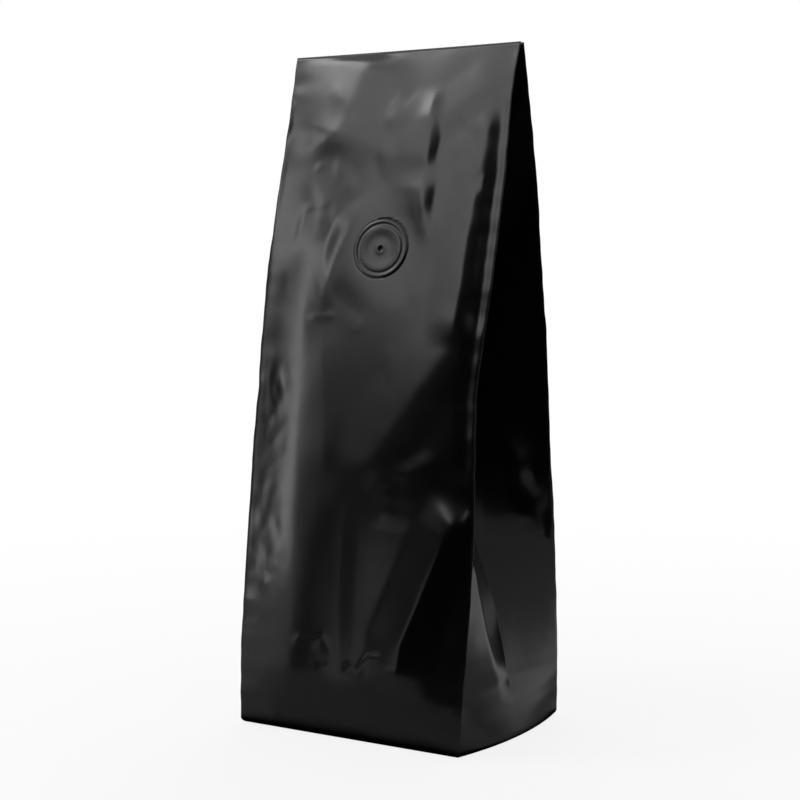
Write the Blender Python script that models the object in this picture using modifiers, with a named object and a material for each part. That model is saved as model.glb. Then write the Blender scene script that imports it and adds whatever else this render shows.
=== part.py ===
"""A filled, shut coffee bag of plain film: side gussets, squared base, flat pressed top and a degassing valve.

Sizes are in metres and +Z is up. The origin is on the ground under the middle of the bag. The front panel,
which carries the valve, faces -Y and the two gussets face -X and +X. The bag is one solid, lofted through
level cross-sections. The valve is a turned solid that sits in a shallow pocket of the front panel.
"""

from math import cos, pi, radians, sin, sqrt

import bmesh
import bpy
from mathutils import Matrix, Vector

# The bag's outside.
HEIGHT = 0.277
TOP_HALF_WIDTH = 0.054
BASE_HALF_WIDTH = 0.053
BASE_HALF_DEPTH = 0.04125
TOP_FRONT_Y = 0.0030
TOP_BACK_Y = 0.0070
FRONT_LEAN_POWER = 1.75
BACK_LEAN_POWER = 1.9
FRONT_BULGE = 0.0055
BACK_BULGE = 0.0050
BULGE_POWER = 0.75
TOP_PINCH = 0.0013
PINCH_POWER = 12
FOLD = 0.0006

# The side gussets: a flat side below GUSSET_START, and a V-fold above it.
GUSSET_HALF_FILM = 0.0423
GUSSET_START = 0.020
GUSSET_SLOPE = 0.373
SIDE_BULGE = 0.0050
SIDE_BULGE_HEIGHT = 0.024

# The base: a rounded rim and, across it, the folded seal between two shallow recesses.
RIM_RADIUS = 0.003
RIM_STEPS = 4
BASE_SEAL_Y = (-0.004, 0.011)
BASE_RECESS_DEPTH = 0.0006
BASE_RECESS_HALF_WIDTH = 0.048
BASE_RECESS_OUTER_Y = 0.034

# The back's folded fin seal.
FIN_HALF_WIDTH = 0.005
FIN_THICKNESS = 0.0006

# The valve, on the front panel.
VALVE_X = 0.0035
VALVE_Z = 0.1975
VALVE_RADIUS = 0.0119
VALVE_DEPTH = 0.0010
VALVE_PLATE = 0.0004
VALVE_RINGS = (0.0050, 0.0068, 0.0094, 0.0114)
VALVE_RING_HEIGHT = 0.00045
VALVE_RING_WIDTH = 0.00085
VALVE_STEPS = 48
PINHOLE_RADIUS = 0.0011
PINHOLE_DEPTH = 0.0008
GAP = 0.0003

# How finely the loft is cut.
FRONT_POINTS = 15
GUSSET_POINTS = 5
BACK_POINTS = 7
LEVELS = 31


def share(z):
    """The height z as a share of the bag's height."""
    return z / HEIGHT


def half_width(z):
    """Half the width between the left and right folds at height z."""
    return BASE_HALF_WIDTH + (TOP_HALF_WIDTH - BASE_HALF_WIDTH) * share(z)


def front_edge(z):
    """Y of the two front folds at height z."""
    return -BASE_HALF_DEPTH + (BASE_HALF_DEPTH + TOP_FRONT_Y) * share(z) ** FRONT_LEAN_POWER


def back_edge(z):
    """Y of the two back folds at height z."""
    return BASE_HALF_DEPTH - (BASE_HALF_DEPTH - TOP_BACK_Y) * share(z) ** BACK_LEAN_POWER


def swelling(z, bulge):
    """How far a panel's middle stands out from its folds at height z; negative where the top is pressed flat."""
    return bulge * sin(pi * share(z) ** BULGE_POWER) - TOP_PINCH * share(z) ** PINCH_POWER


def front_y(x, z):
    """Y of the front panel at x and height z."""
    return front_edge(z) - swelling(z, FRONT_BULGE) * (1 - (x / half_width(z)) ** 2)


def back_y(x, z):
    """Y of the back panel at x and height z."""
    return back_edge(z) + swelling(z, BACK_BULGE) * (1 - (x / half_width(z)) ** 2)


def gusset_depth(z):
    """How far the gusset's inner fold lies inside the bag's side at height z."""
    half_depth = (back_edge(z) - front_edge(z)) / 2 - FOLD
    film = sqrt(GUSSET_HALF_FILM ** 2 - half_depth ** 2)
    return min(film, max(0.0, GUSSET_SLOPE * (z - GUSSET_START)))


def side_bulge(z):
    """How far the middle of the side stands out at height z, just above the base."""
    return SIDE_BULGE * max(0.0, 1 - z / SIDE_BULGE_HEIGHT) ** 1.5


def gusset_line(z):
    """The right gusset's points at height z, from the front fold to the back fold."""
    front = front_edge(z) + FOLD
    back = back_edge(z) - FOLD
    middle = (front + back) / 2
    depth = gusset_depth(z)
    points = []
    for half, (start, end) in enumerate(((front, middle - FOLD / 2), (middle + FOLD / 2, back))):
        for step in range(GUSSET_POINTS):
            along = step / (GUSSET_POINTS - 1)
            inward = along if half == 0 else 1 - along
            y = start + (end - start) * along
            bulge = side_bulge(z) * (1 - ((y - middle) / (back - middle)) ** 2)
            points.append((half_width(z) - depth * inward + bulge, y))
    return points


def section(z):
    """The bag's outline at height z, anticlockwise seen from above."""
    width = half_width(z)
    front = [-width + 2 * width * step / (FRONT_POINTS - 1) for step in range(FRONT_POINTS)]
    points = [(x, front_y(x, z)) for x in front]
    right = gusset_line(z)
    points += right
    beside = [width + (FIN_HALF_WIDTH - width) * step / (BACK_POINTS - 1) for step in range(BACK_POINTS)]
    points += [(x, back_y(x, z)) for x in beside]
    points += [(x, back_y(x, z) + FIN_THICKNESS) for x in (FIN_HALF_WIDTH, -FIN_HALF_WIDTH)]
    points += [(-x, back_y(x, z)) for x in reversed(beside)]
    points += [(-x, y) for x, y in reversed(right)]
    return points


def rim_inset(z):
    """How far the rounded rim of the base lies inside the side wall at height z."""
    if z >= RIM_RADIUS:
        return 0.0
    return RIM_RADIUS - sqrt(RIM_RADIUS ** 2 - (RIM_RADIUS - z) ** 2)


def level_heights():
    """The heights of the cross-sections: close together round the rim, then evenly up to the top."""
    rim = [RIM_RADIUS * (1 - cos(radians(90) * step / RIM_STEPS)) for step in range(RIM_STEPS)]
    wall = [RIM_RADIUS + (HEIGHT - RIM_RADIUS) * step / (LEVELS - 1) for step in range(LEVELS)]
    return rim + wall


def new_material(name, colour, roughness):
    """A Principled material with one colour and roughness."""
    material = bpy.data.materials.new(name)
    material.use_nodes = True
    shader = material.node_tree.nodes["Principled BSDF"]
    shader.inputs["Base Color"].default_value = (*colour, 1.0)
    shader.inputs["Roughness"].default_value = roughness
    shader.inputs["Metallic"].default_value = 0.0
    return material


def new_collection(name):
    """A collection of the scene."""
    collection = bpy.data.collections.new(name)
    bpy.context.scene.collection.children.link(collection)
    return collection


def new_object(name, mesh, collection):
    """An object of a mesh in a collection."""
    made = bpy.data.objects.new(name, mesh)
    collection.objects.link(made)
    return made


def bag_mesh():
    """The closed loft through all cross-sections."""
    shape = bmesh.new()
    rings = []
    for z in level_heights():
        inset = rim_inset(z)
        across = 1 - inset / BASE_HALF_WIDTH
        along = 1 - inset / BASE_HALF_DEPTH
        rings.append([shape.verts.new((x * across, y * along, z)) for x, y in section(z)])
    for lower, upper in zip(rings, rings[1:]):
        for here in range(len(lower)):
            after = (here + 1) % len(lower)
            shape.faces.new((lower[here], lower[after], upper[after], upper[here]))
    shape.faces.new(rings[-1])
    shape.faces.new(list(reversed(rings[0])))
    mesh = bpy.data.meshes.new("bag")
    shape.to_mesh(mesh)
    shape.free()
    return mesh


def valve_place():
    """The valve's place: its centre on the front panel, with +Z along the panel's outward normal."""
    step = 0.002
    across = (front_y(VALVE_X + step, VALVE_Z) - front_y(VALVE_X - step, VALVE_Z)) / (2 * step)
    up = (front_y(VALVE_X, VALVE_Z + step) - front_y(VALVE_X, VALVE_Z - step)) / (2 * step)
    normal = Vector((across, -1, up)).normalized()
    centre = Vector((VALVE_X, front_y(VALVE_X, VALVE_Z), VALVE_Z))
    return Matrix.Translation(centre) @ normal.to_track_quat("Z", "Y").to_matrix().to_4x4()


def cutter_box(name, low, high, collection):
    """A box between two corners, used as a cutter."""
    shape = bmesh.new()
    bmesh.ops.create_cube(shape, size=1.0)
    size = [b - a for a, b in zip(low, high)]
    centre = [(a + b) / 2 for a, b in zip(low, high)]
    bmesh.ops.transform(shape, matrix=Matrix.LocRotScale(centre, None, size), verts=shape.verts)
    mesh = bpy.data.meshes.new(name)
    shape.to_mesh(mesh)
    shape.free()
    return hide_cutter(new_object(name, mesh, collection))


def pocket_cutter(collection):
    """The round cutter that clears the valve's pocket."""
    above = 0.005
    below = VALVE_DEPTH + GAP
    shape = bmesh.new()
    radius = VALVE_RADIUS + GAP
    bmesh.ops.create_cone(shape, cap_ends=True, segments=VALVE_STEPS, radius1=radius, radius2=radius,
                          depth=above + below)
    bmesh.ops.translate(shape, vec=(0, 0, (above - below) / 2), verts=shape.verts)
    mesh = bpy.data.meshes.new("pocket_cutter")
    shape.to_mesh(mesh)
    shape.free()
    cutter = hide_cutter(new_object("pocket_cutter", mesh, collection))
    cutter.matrix_world = valve_place()
    return cutter


def hide_cutter(cutter):
    """Mark a cutter as a guide, which isn't a part."""
    cutter.hide_render = True
    cutter.display_type = "WIRE"
    return cutter


def cut(target, cutter):
    """Cut one solid out of another with a live Boolean."""
    boolean = target.modifiers.new("cut " + cutter.name, "BOOLEAN")
    boolean.operation = "DIFFERENCE"
    boolean.solver = "EXACT"
    boolean.object = cutter


def make_bag(parts, cutters):
    """The bag with the valve's pocket and the two recesses beside the base's folded seal."""
    bag = new_object("bag", bag_mesh(), parts)
    bag.data.materials.append(new_material("film", (0.012, 0.012, 0.012), 0.4))
    cut(bag, pocket_cutter(cutters))
    spans = ((-BASE_RECESS_OUTER_Y, BASE_SEAL_Y[0]), (BASE_SEAL_Y[1], BASE_RECESS_OUTER_Y))
    for name, (near, far) in zip(("base_front_cutter", "base_back_cutter"), spans):
        low = (-BASE_RECESS_HALF_WIDTH, near, -RIM_RADIUS)
        high = (BASE_RECESS_HALF_WIDTH, far, BASE_RECESS_DEPTH)
        cut(bag, cutter_box(name, low, high, cutters))
    return bag


def valve_profile():
    """The valve's outline from the pinhole's floor outwards, down its outer side and back to the axis."""
    points = [(0.0, VALVE_PLATE - PINHOLE_DEPTH), (PINHOLE_RADIUS, VALVE_PLATE - PINHOLE_DEPTH),
              (PINHOLE_RADIUS, VALVE_PLATE)]
    for radius in VALVE_RINGS:
        for step in range(5):
            turn = pi * step / 4
            away = -VALVE_RING_WIDTH / 2 * cos(turn)
            last = radius == VALVE_RINGS[-1] and step == 4
            rise = 0.0 if last else VALVE_RING_HEIGHT * sin(turn)
            points.append((radius + away, VALVE_PLATE + rise))
    points.append((VALVE_RADIUS, 0.0))
    points += [(VALVE_RADIUS, -VALVE_DEPTH), (0.0, -VALVE_DEPTH)]
    return points


def make_valve(parts):
    """The degassing valve: a disc with raised rings and a pinhole, turned about its own axis."""
    shape = bmesh.new()
    verts = [shape.verts.new((radius, 0, height)) for radius, height in valve_profile()]
    for here, after in zip(verts, verts[1:]):
        shape.edges.new((here, after))
    mesh = bpy.data.meshes.new("valve")
    shape.to_mesh(mesh)
    shape.free()
    valve = new_object("valve", mesh, parts)
    turned = valve.modifiers.new("turned", "SCREW")
    turned.axis = "Z"
    turned.steps = VALVE_STEPS
    turned.render_steps = VALVE_STEPS
    turned.use_merge_vertices = True
    turned.merge_threshold = 0.00001
    valve.matrix_world = valve_place()
    valve.data.materials.append(new_material("valve", (0.014, 0.014, 0.014), 0.45))
    return valve


def main():
    """Build the coffee bag."""
    for old in list(bpy.data.objects):
        bpy.data.objects.remove(old)
    parts = new_collection("coffee_bag")
    cutters = new_collection("cutters")
    make_bag(parts, cutters)
    make_valve(parts)


main()
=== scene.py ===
"""Looks of the coffee bag: creased black film, seals, degassing valve, and the studio round them.

Everything is in metres in the part's own frame: +Z up, the front panel faces -Y, the origin is on the ground
under the middle of the bag. Folds and dents are given in millimetres on the panel that they are pressed into.
"""

import logging
import math
from dataclasses import dataclass, field
from enum import Enum

import bmesh
import bpy
import numpy as np
from bpy.types import Material, Mesh, Node, NodeSocket, Object
from mathutils import Matrix, Vector

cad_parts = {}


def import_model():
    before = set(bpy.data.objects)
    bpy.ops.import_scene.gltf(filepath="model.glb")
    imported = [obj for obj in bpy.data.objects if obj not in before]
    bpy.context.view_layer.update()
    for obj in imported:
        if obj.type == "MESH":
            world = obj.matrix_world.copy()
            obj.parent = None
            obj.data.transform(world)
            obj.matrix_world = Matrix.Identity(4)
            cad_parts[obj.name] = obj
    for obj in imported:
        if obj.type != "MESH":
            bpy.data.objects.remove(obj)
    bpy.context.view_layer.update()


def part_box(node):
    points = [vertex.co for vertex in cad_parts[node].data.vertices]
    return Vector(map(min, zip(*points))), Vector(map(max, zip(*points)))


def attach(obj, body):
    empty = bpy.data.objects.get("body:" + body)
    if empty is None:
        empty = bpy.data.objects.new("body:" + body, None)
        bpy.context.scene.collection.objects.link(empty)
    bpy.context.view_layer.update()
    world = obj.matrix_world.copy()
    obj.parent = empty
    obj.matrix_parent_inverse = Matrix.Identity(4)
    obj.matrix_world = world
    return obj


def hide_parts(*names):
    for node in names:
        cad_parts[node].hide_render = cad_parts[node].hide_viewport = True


LOG = logging.getLogger("coffee_bag")
Grid = np.ndarray
MM = 0.001
BODY = "root"
FULL_HEIGHT = 1.006
STUDIO_MIDDLE = (0.0, 0.0, 0.14)
CLOUD_SCALE = 34.0
SMEAR_SCALE = 210.0
WORN_ROUGHNESS = 0.10
FLOOR_CARD_LIFT = 0.0002


class Side(Enum):
    """The two sides of the bag, as the sign of X."""

    LEFT = -1
    RIGHT = 1


# --- Relief: folds, dents and crumples of the film ---


def smooth(value: Grid) -> Grid:
    """The smooth step of a value from 0 to 1."""
    t = np.clip(value, 0.0, 1.0)
    return t * t * (3 - 2 * t)


def lattice_noise(across: Grid, up: Grid, seed: int) -> Grid:
    """Gradient noise on a plane.

    Args:
        across: First coordinates, in noise cells.
        up: Second coordinates, in noise cells.
        seed: The seed of the lattice.

    Returns:
        Values of about -1 to 1, in the shape of the coordinates.
    """
    size = 64
    angles = np.random.RandomState(seed).uniform(0, 2 * math.pi, (size, size))
    cell_x = np.floor(across).astype(int)
    cell_y = np.floor(up).astype(int)
    in_x = across - cell_x
    in_y = up - cell_y
    blend_x = in_x ** 3 * (in_x * (in_x * 6 - 15) + 10)
    blend_y = in_y ** 3 * (in_y * (in_y * 6 - 15) + 10)
    total = np.zeros_like(in_x)
    for step_x in (0, 1):
        for step_y in (0, 1):
            angle = angles[(cell_x + step_x) % size, (cell_y + step_y) % size]
            slope = np.cos(angle) * (in_x - step_x) + np.sin(angle) * (in_y - step_y)
            weight_x = blend_x if step_x else 1 - blend_x
            weight_y = blend_y if step_y else 1 - blend_y
            total = total + slope * weight_x * weight_y
    return total * 1.6


class Mark:
    """Something pressed into a panel of the film."""

    def relief(self, across: Grid, up: Grid) -> Grid:
        """The height of the mark at points of the panel.

        Args:
            across: Places across the panel, in mm.
            up: Places up the panel, in mm.

        Returns:
            Heights in mm.
        """
        raise NotImplementedError


@dataclass(frozen=True)
class Ridge(Mark):
    """A fold pressed outwards along a path, or inwards where its height is negative.

    Left and right are as seen by someone who walks along the path with the panel's outside up, so on a path
    that climbs, left is towards smaller X, and on a path that runs to the right, left is up.
    """

    path: tuple[tuple[float, float], ...]
    height: float
    left: float
    right: float
    crest: float = 0.8
    taper: float = 14.0

    def relief(self, across: Grid, up: Grid) -> Grid:
        """The height of the fold; see Mark."""
        nearest = np.full(across.shape, 1e9)
        signed = np.zeros_like(across)
        along = np.zeros_like(across)
        walked = 0.0
        for (ax, ay), (bx, by) in zip(self.path, self.path[1:]):
            length = math.hypot(bx - ax, by - ay)
            dx, dy = (bx - ax) / length, (by - ay) / length
            place = (across - ax) * dx + (up - ay) * dy
            held = np.clip(place, 0, length)
            gap = np.hypot(across - ax - dx * held, up - ay - dy * held)
            side = dx * (up - ay) - dy * (across - ax)
            closer = gap < nearest
            nearest = np.where(closer, gap, nearest)
            signed = np.where(closer, np.where(side > 0, -gap, gap), signed)
            along = np.where(closer, walked + held, along)
            walked += length
        width = np.where(signed < 0, self.left, self.right)
        eased = np.sqrt(nearest ** 2 + self.crest ** 2) - self.crest
        foot = 0.16
        share = 1 - eased / width
        fall = (share + np.sqrt(share ** 2 + foot ** 2)) / (1 + math.sqrt(1 + foot ** 2))
        fall = np.where(share < -0.6, fall * smooth((share + 1.4) / 0.8), fall)
        taper = min(self.taper, walked / 2)
        ends = smooth(along / taper) * smooth((walked - along) / taper)
        return self.height * fall * ends


@dataclass(frozen=True)
class Dent(Mark):
    """A round or oval dent, or a bump where its height is positive."""

    centre: tuple[float, float]
    radii: tuple[float, float]
    height: float
    turn: float = 0.0

    def relief(self, across: Grid, up: Grid) -> Grid:
        """The height of the dent; see Mark."""
        turn = math.radians(self.turn)
        dx, dy = across - self.centre[0], up - self.centre[1]
        u = (dx * math.cos(turn) + dy * math.sin(turn)) / self.radii[0]
        v = (dy * math.cos(turn) - dx * math.sin(turn)) / self.radii[1]
        return self.height * np.exp(-(u ** 2 + v ** 2))


@dataclass(frozen=True)
class Crumple(Mark):
    """Crumpled film: sharp, crossing creases of one size, inside a box with soft edges."""

    size: float
    height: float
    seed: int
    low: tuple[float, float] = (-200.0, -200.0)
    high: tuple[float, float] = (200.0, 400.0)
    edge: float = 18.0
    stretch: float = 1.0

    def relief(self, across: Grid, up: Grid) -> Grid:
        """The height of the crumples; see Mark."""
        u, v = across / self.size, up / (self.size * self.stretch)
        warp = lattice_noise(u * 0.5 + 9.1, v * 0.5 + 3.7, self.seed + 1)
        first = lattice_noise(u + warp, v + 0.7 * warp, self.seed)
        second = lattice_noise(u * 0.8 - warp + 5.3, v * 0.8 + 11.9, self.seed + 2)
        creased = 1.2 - 2.6 * np.sqrt(first ** 2 + 0.0016) + 0.9 * second
        mask = smooth((across - self.low[0]) / self.edge) * smooth((self.high[0] - across) / self.edge)
        mask = mask * smooth((up - self.low[1]) / self.edge) * smooth((self.high[1] - up) / self.edge)
        return self.height * (creased - 0.5) * mask


@dataclass(frozen=True)
class Swell(Mark):
    """Soft, uneven swelling of the film without creases."""

    size: float
    height: float
    seed: int
    stretch: float = 1.0

    def relief(self, across: Grid, up: Grid) -> Grid:
        """The height of the swelling; see Mark."""
        return self.height * lattice_noise(across / self.size, up / (self.size * self.stretch), self.seed)


@dataclass(frozen=True)
class Scatter(Mark):
    """Short, slightly bent creases strewn over a box of the panel."""

    count: int
    low: tuple[float, float]
    high: tuple[float, float]
    length: tuple[float, float]
    height: float
    width: tuple[float, float]
    lean: tuple[float, float]
    seed: int
    crest: float = 0.5

    def strokes(self) -> list[Ridge]:
        """The creases, always the same for one seed."""
        pick = np.random.RandomState(self.seed)
        made = []
        for _ in range(self.count):
            x, z = pick.uniform(self.low[0], self.high[0]), pick.uniform(self.low[1], self.high[1])
            length, lean = pick.uniform(*self.length), math.radians(pick.uniform(*self.lean))
            bend = pick.uniform(-0.16, 0.16) * length
            dx, dz = math.cos(lean) * length / 2, math.sin(lean) * length / 2
            height = self.height * pick.uniform(0.4, 1.0) * pick.choice([-1, 1, 1])
            wide, narrow = pick.uniform(*self.width), pick.uniform(*self.width) * 0.6
            left, right = (wide, narrow) if pick.uniform() < 0.5 else (narrow, wide)
            path = ((x - dx, z - dz), (x - dz / length * bend, z + dx / length * bend), (x + dx, z + dz))
            made.append(Ridge(path, height, left, right, self.crest, length * 0.45))
        return made

    def relief(self, across: Grid, up: Grid) -> Grid:
        """The summed height of the creases; see Mark."""
        total = np.zeros_like(across)
        for stroke in self.strokes():
            total = total + stroke.relief(across, up)
        return total


def total_relief(marks: tuple, across: Grid, up: Grid) -> Grid:
    """The summed height of all marks on a panel.

    Args:
        marks: Ridges, dents and crumples.
        across: Places across the panel, in mm.
        up: Places up the panel, in mm.

    Returns:
        Heights in metres.
    """
    total = np.zeros(np.broadcast(across, up).shape)
    across = across + np.zeros_like(total)
    up = up + np.zeros_like(total)
    for mark in marks:
        total = total + mark.relief(across, up)
    return total * MM


FRONT_MARKS = (
    # Long folds down the upper half.
    Ridge(((20.5, 197), (19.0, 212), (19.4, 231)), 1.15, 16, 4.8, taper=10),
    Ridge(((18.6, 223), (18.4, 245), (17.5, 264)), 1.2, 22, 4.6, taper=14),
    Ridge(((41, 158), (41, 200), (42.5, 226), (44.5, 258)), 1.05, 12, 7),
    Ridge(((49.6, 105), (49.8, 200), (50.6, 264)), -0.38, 4, 3.2),
    Ridge(((17, 245), (33, 256), (52, 268)), 0.65, 11, 6.5, crest=1.4),
    Ridge(((-6, 247), (4, 252), (12, 262)), 0.25, 7, 5, taper=8),
    Ridge(((-50, 238), (-35, 241), (-20, 249)), 0.45, 12, 7),
    Ridge(((-27, 232), (-22, 254), (-15, 284)), 1.5, 31, 24, crest=3, taper=14),
    Ridge(((-23, 166), (-19.5, 186), (-15, 206)), 0.62, 20, 6, crest=1.5, taper=16),
    # Short, sharp cross creases.
    Ridge(((-29, 169.5), (-13, 170.5)), 0.16, 1.4, 2.0, crest=0.3, taper=5),
    Ridge(((-40, 214.5), (-24, 216)), 0.14, 1.4, 2.0, crest=0.3, taper=5),
    Ridge(((-37, 231), (-28, 233)), 0.14, 1.6, 2.4, crest=0.3, taper=4),
    Ridge(((44, 219), (42, 224), (44, 229)), -0.3, 2.5, 2.0, crest=0.4, taper=4),
    # The left side: a dark hollow beside the crest of the lower middle.
    Ridge(((-12, 104), (-15, 138), (-20, 168)), 0.35, 12, 8, taper=16),
    Ridge(((-25, 12), (-25, 80), (-28, 150), (-33, 200)), 0.6, 15, 25, crest=3, taper=20),
    Ridge(((-2, 20), (-2, 66), (-1, 100)), -0.25, 14, 6, crest=0.8, taper=12),
    # The belly turns away below this long diagonal.
    Ridge(((6, 100), (14, 122), (30, 145), (50, 172)), 0.6, 16, 12, crest=3),
    # A square-cornered bump in the lower right.
    Ridge(((16, 86), (16.5, 98), (19, 108)), 0.45, 6, 14, crest=0.6, taper=8),
    Ridge(((17, 106), (27, 110), (42, 117)), 0.40, 5, 16, crest=0.6, taper=10),
    # The long curved fold from the right edge down to the base.
    Ridge(((25, 20), (27, 42), (34, 61), (43, 86), (53, 99)), 2.5, 15, 11, crest=1.0, taper=12),
    # The wrinkle above the flat band of the base.
    Ridge(((-26, 37), (-21, 40), (-16, 39), (-10, 41.5), (-6, 37), (-3, 33)), 0.24, 1.8, 3.4,
          crest=0.3, taper=5),
    Ridge(((-14, 30), (-9, 29), (-4, 31)), 0.18, 1.4, 2.6, crest=0.3, taper=4),
    Ridge(((0, 27), (3, 31), (7, 29.5), (12, 36), (18, 36.5), (25, 30)), 0.26, 1.8, 3.4, crest=0.3, taper=5),
    Ridge(((-50, 27), (-20, 26), (0, 25), (25, 24), (50, 19)), 0.3, 7, 16, crest=1.0),
    # Uneven, crumpled film.
    Swell(30, 0.16, 47, stretch=1.7),
    Swell(13, 0.04, 53, stretch=1.4),
    Scatter(26, (-44, 206), (40, 264), (9, 24), 0.16, (4, 9), (20, 160), 11),
    Scatter(18, (-50, 22), (-34, 150), (6, 13), 0.08, (3, 6), (-30, 30), 23),
    Scatter(10, (-50, 20), (-38, 190), (14, 32), 0.10, (4, 8), (78, 102), 29),
    Scatter(18, (-26, 110), (44, 200), (8, 22), 0.07, (4, 9), (30, 150), 31),
    Scatter(16, (8, 5), (50, 24), (6, 16), 0.12, (3, 6), (-30, 50), 37),
    Crumple(10, 0.03, 61, low=(-52, 6), high=(-30, 150), edge=8, stretch=1.2),
)

BACK_MARKS = (
    Ridge(((-26, 120), (-24, 180), (-21, 250)), 0.6, 10, 5),
    Ridge(((30, 150), (33, 205), (31, 258)), -0.6, 8, 6),
    Ridge(((-52, 96), (-36, 78), (-26, 30)), 1.2, 12, 14, crest=1.2, taper=10),
    Ridge(((26, 28), (33, 72), (52, 101)), 1.2, 13, 12, crest=1.2, taper=10),
    Ridge(((-50, 26), (0, 28), (50, 25)), 0.3, 7, 16, crest=1.0),
    Ridge(((8, 205), (25, 214), (48, 217)), 0.4, 5, 8),
    Dent((-30, 140), (16, 24), -0.7, 20),
    Swell(28, 0.28, 131, stretch=1.6),
    Swell(12, 0.06, 133, stretch=1.3),
    Scatter(34, (-46, 180), (46, 264), (9, 26), 0.16, (4, 9), (20, 160), 111),
    Scatter(44, (-50, 12), (50, 190), (8, 26), 0.14, (3, 8), (40, 140), 123),
)


def gusset_marks(seed: int, front: bool) -> tuple:
    """The marks of one gusset half; across runs from the outer fold (0) to the inner fold (about 42).

    Args:
        seed: Sets the creases of the four halves apart.
        front: Whether this is the half beside the front panel.

    Returns:
        Ridges, dents and creases.
    """
    shared = (
        Swell(22, 0.25, seed, stretch=1.4),
        Scatter(10, (4, 75), (38, 250), (8, 24), 0.22, (3, 8), (30, 150), seed + 1),
        Scatter(8, (4, 26), (36, 74), (6, 18), 0.06, (3, 7), (40, 140), seed + 2),
    )
    if front:
        return shared
    return shared + (
        Ridge(((1, 74), (18, 75.5), (38, 77)), 0.35, 1.6, 6, crest=0.4, taper=3),
        Ridge(((2, 77), (18, 78), (38, 80)), -0.25, 14, 2.5, crest=0.4, taper=3),
        Ridge(((6, 84), (10, 94), (14, 108), (26, 128)), 0.5, 10, 8, crest=1.0, taper=10),
        Dent((9, 104), (5, 6), -0.7),
    )


# --- The form of the bag ---


@dataclass(frozen=True)
class BagForm:
    """The bag's outer form, as rules for its panels and folds at each height."""

    height: float
    top_half_width: float = 0.054
    base_half_width: float = 0.053
    base_half_depth: float = 0.04125
    top_front_y: float = 0.0030
    top_back_y: float = 0.0070
    front_lean: float = 1.75
    back_lean: float = 1.9
    front_bulge: float = 0.0055
    back_bulge: float = 0.0050
    bulge_power: float = 0.75
    top_pinch: float = 0.0013
    pinch_power: float = 12.0
    gusset_film: float = 0.0423
    gusset_start: float = 0.016
    gusset_slope: float = 0.13
    gusset_curve: float = 2.5
    facet_top: float = 0.080
    facet_foot: float = 0.022
    facet_share: float = 0.76
    side_bulge: float = 0.0050
    side_bulge_height: float = 0.024
    rim_radius: float = 0.0022
    fold_radius: float = 0.00035

    def half_width(self, z: Grid) -> Grid:
        """Half the width between the left and right folds."""
        return self.base_half_width + (self.top_half_width - self.base_half_width) * z / self.height

    def front_edge(self, z: Grid) -> Grid:
        """Y of the two front folds."""
        rise = self.base_half_depth + self.top_front_y
        return -self.base_half_depth + rise * (z / self.height) ** self.front_lean

    def back_edge(self, z: Grid) -> Grid:
        """Y of the two back folds."""
        fall = self.base_half_depth - self.top_back_y
        return self.base_half_depth - fall * (z / self.height) ** self.back_lean

    def swelling(self, z: Grid, bulge: float) -> Grid:
        """How far a panel's middle stands out from its folds."""
        share = z / self.height
        pinch = self.top_pinch * share ** self.pinch_power
        return bulge * np.sin(math.pi * share ** self.bulge_power) - pinch

    def front_y(self, x: Grid, z: Grid) -> Grid:
        """Y of the front panel without its creases."""
        return self.front_edge(z) - self.swelling(z, self.front_bulge) * (1 - (x / self.half_width(z)) ** 2)

    def back_y(self, x: Grid, z: Grid) -> Grid:
        """Y of the back panel without its creases."""
        return self.back_edge(z) + self.swelling(z, self.back_bulge) * (1 - (x / self.half_width(z)) ** 2)

    def gusset_depth(self, z: Grid) -> Grid:
        """How far the gusset's inner fold lies inside the bag's side."""
        half_depth = (self.back_edge(z) - self.front_edge(z)) / 2 - self.fold_radius
        film = np.sqrt(self.gusset_film ** 2 - half_depth ** 2)
        rise = np.maximum(0.0, z - self.gusset_start)
        return np.minimum(film, rise * (self.gusset_slope + self.gusset_curve * rise))

    def facet(self, z: Grid, share: Grid) -> Grid:
        """How far the flat three-cornered facet lifts the front half of the gusset off its straight line.

        Args:
            z: Heights.
            share: Places from the outer fold (0) to the inner fold (1).

        Returns:
            Distances outwards, in metres.
        """
        climb = np.clip((self.facet_top - z) / (self.facet_top - self.facet_foot), 0.0, 1.0)
        crease = np.maximum(self.facet_share * climb, 0.02)
        lift = crease * self.gusset_depth(z)
        up, down = share / crease, (1 - share) / (1 - crease)
        profile = (up + down - np.sqrt((up - down) ** 2 + 0.004)) / 2
        return lift * np.clip(profile, 0.0, 1.0) * smooth(climb / 0.08)

    def side_swelling(self, z: Grid) -> Grid:
        """How far the middle of the side stands out just above the base."""
        return self.side_bulge * np.maximum(0.0, 1 - z / self.side_bulge_height) ** 1.2


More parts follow.
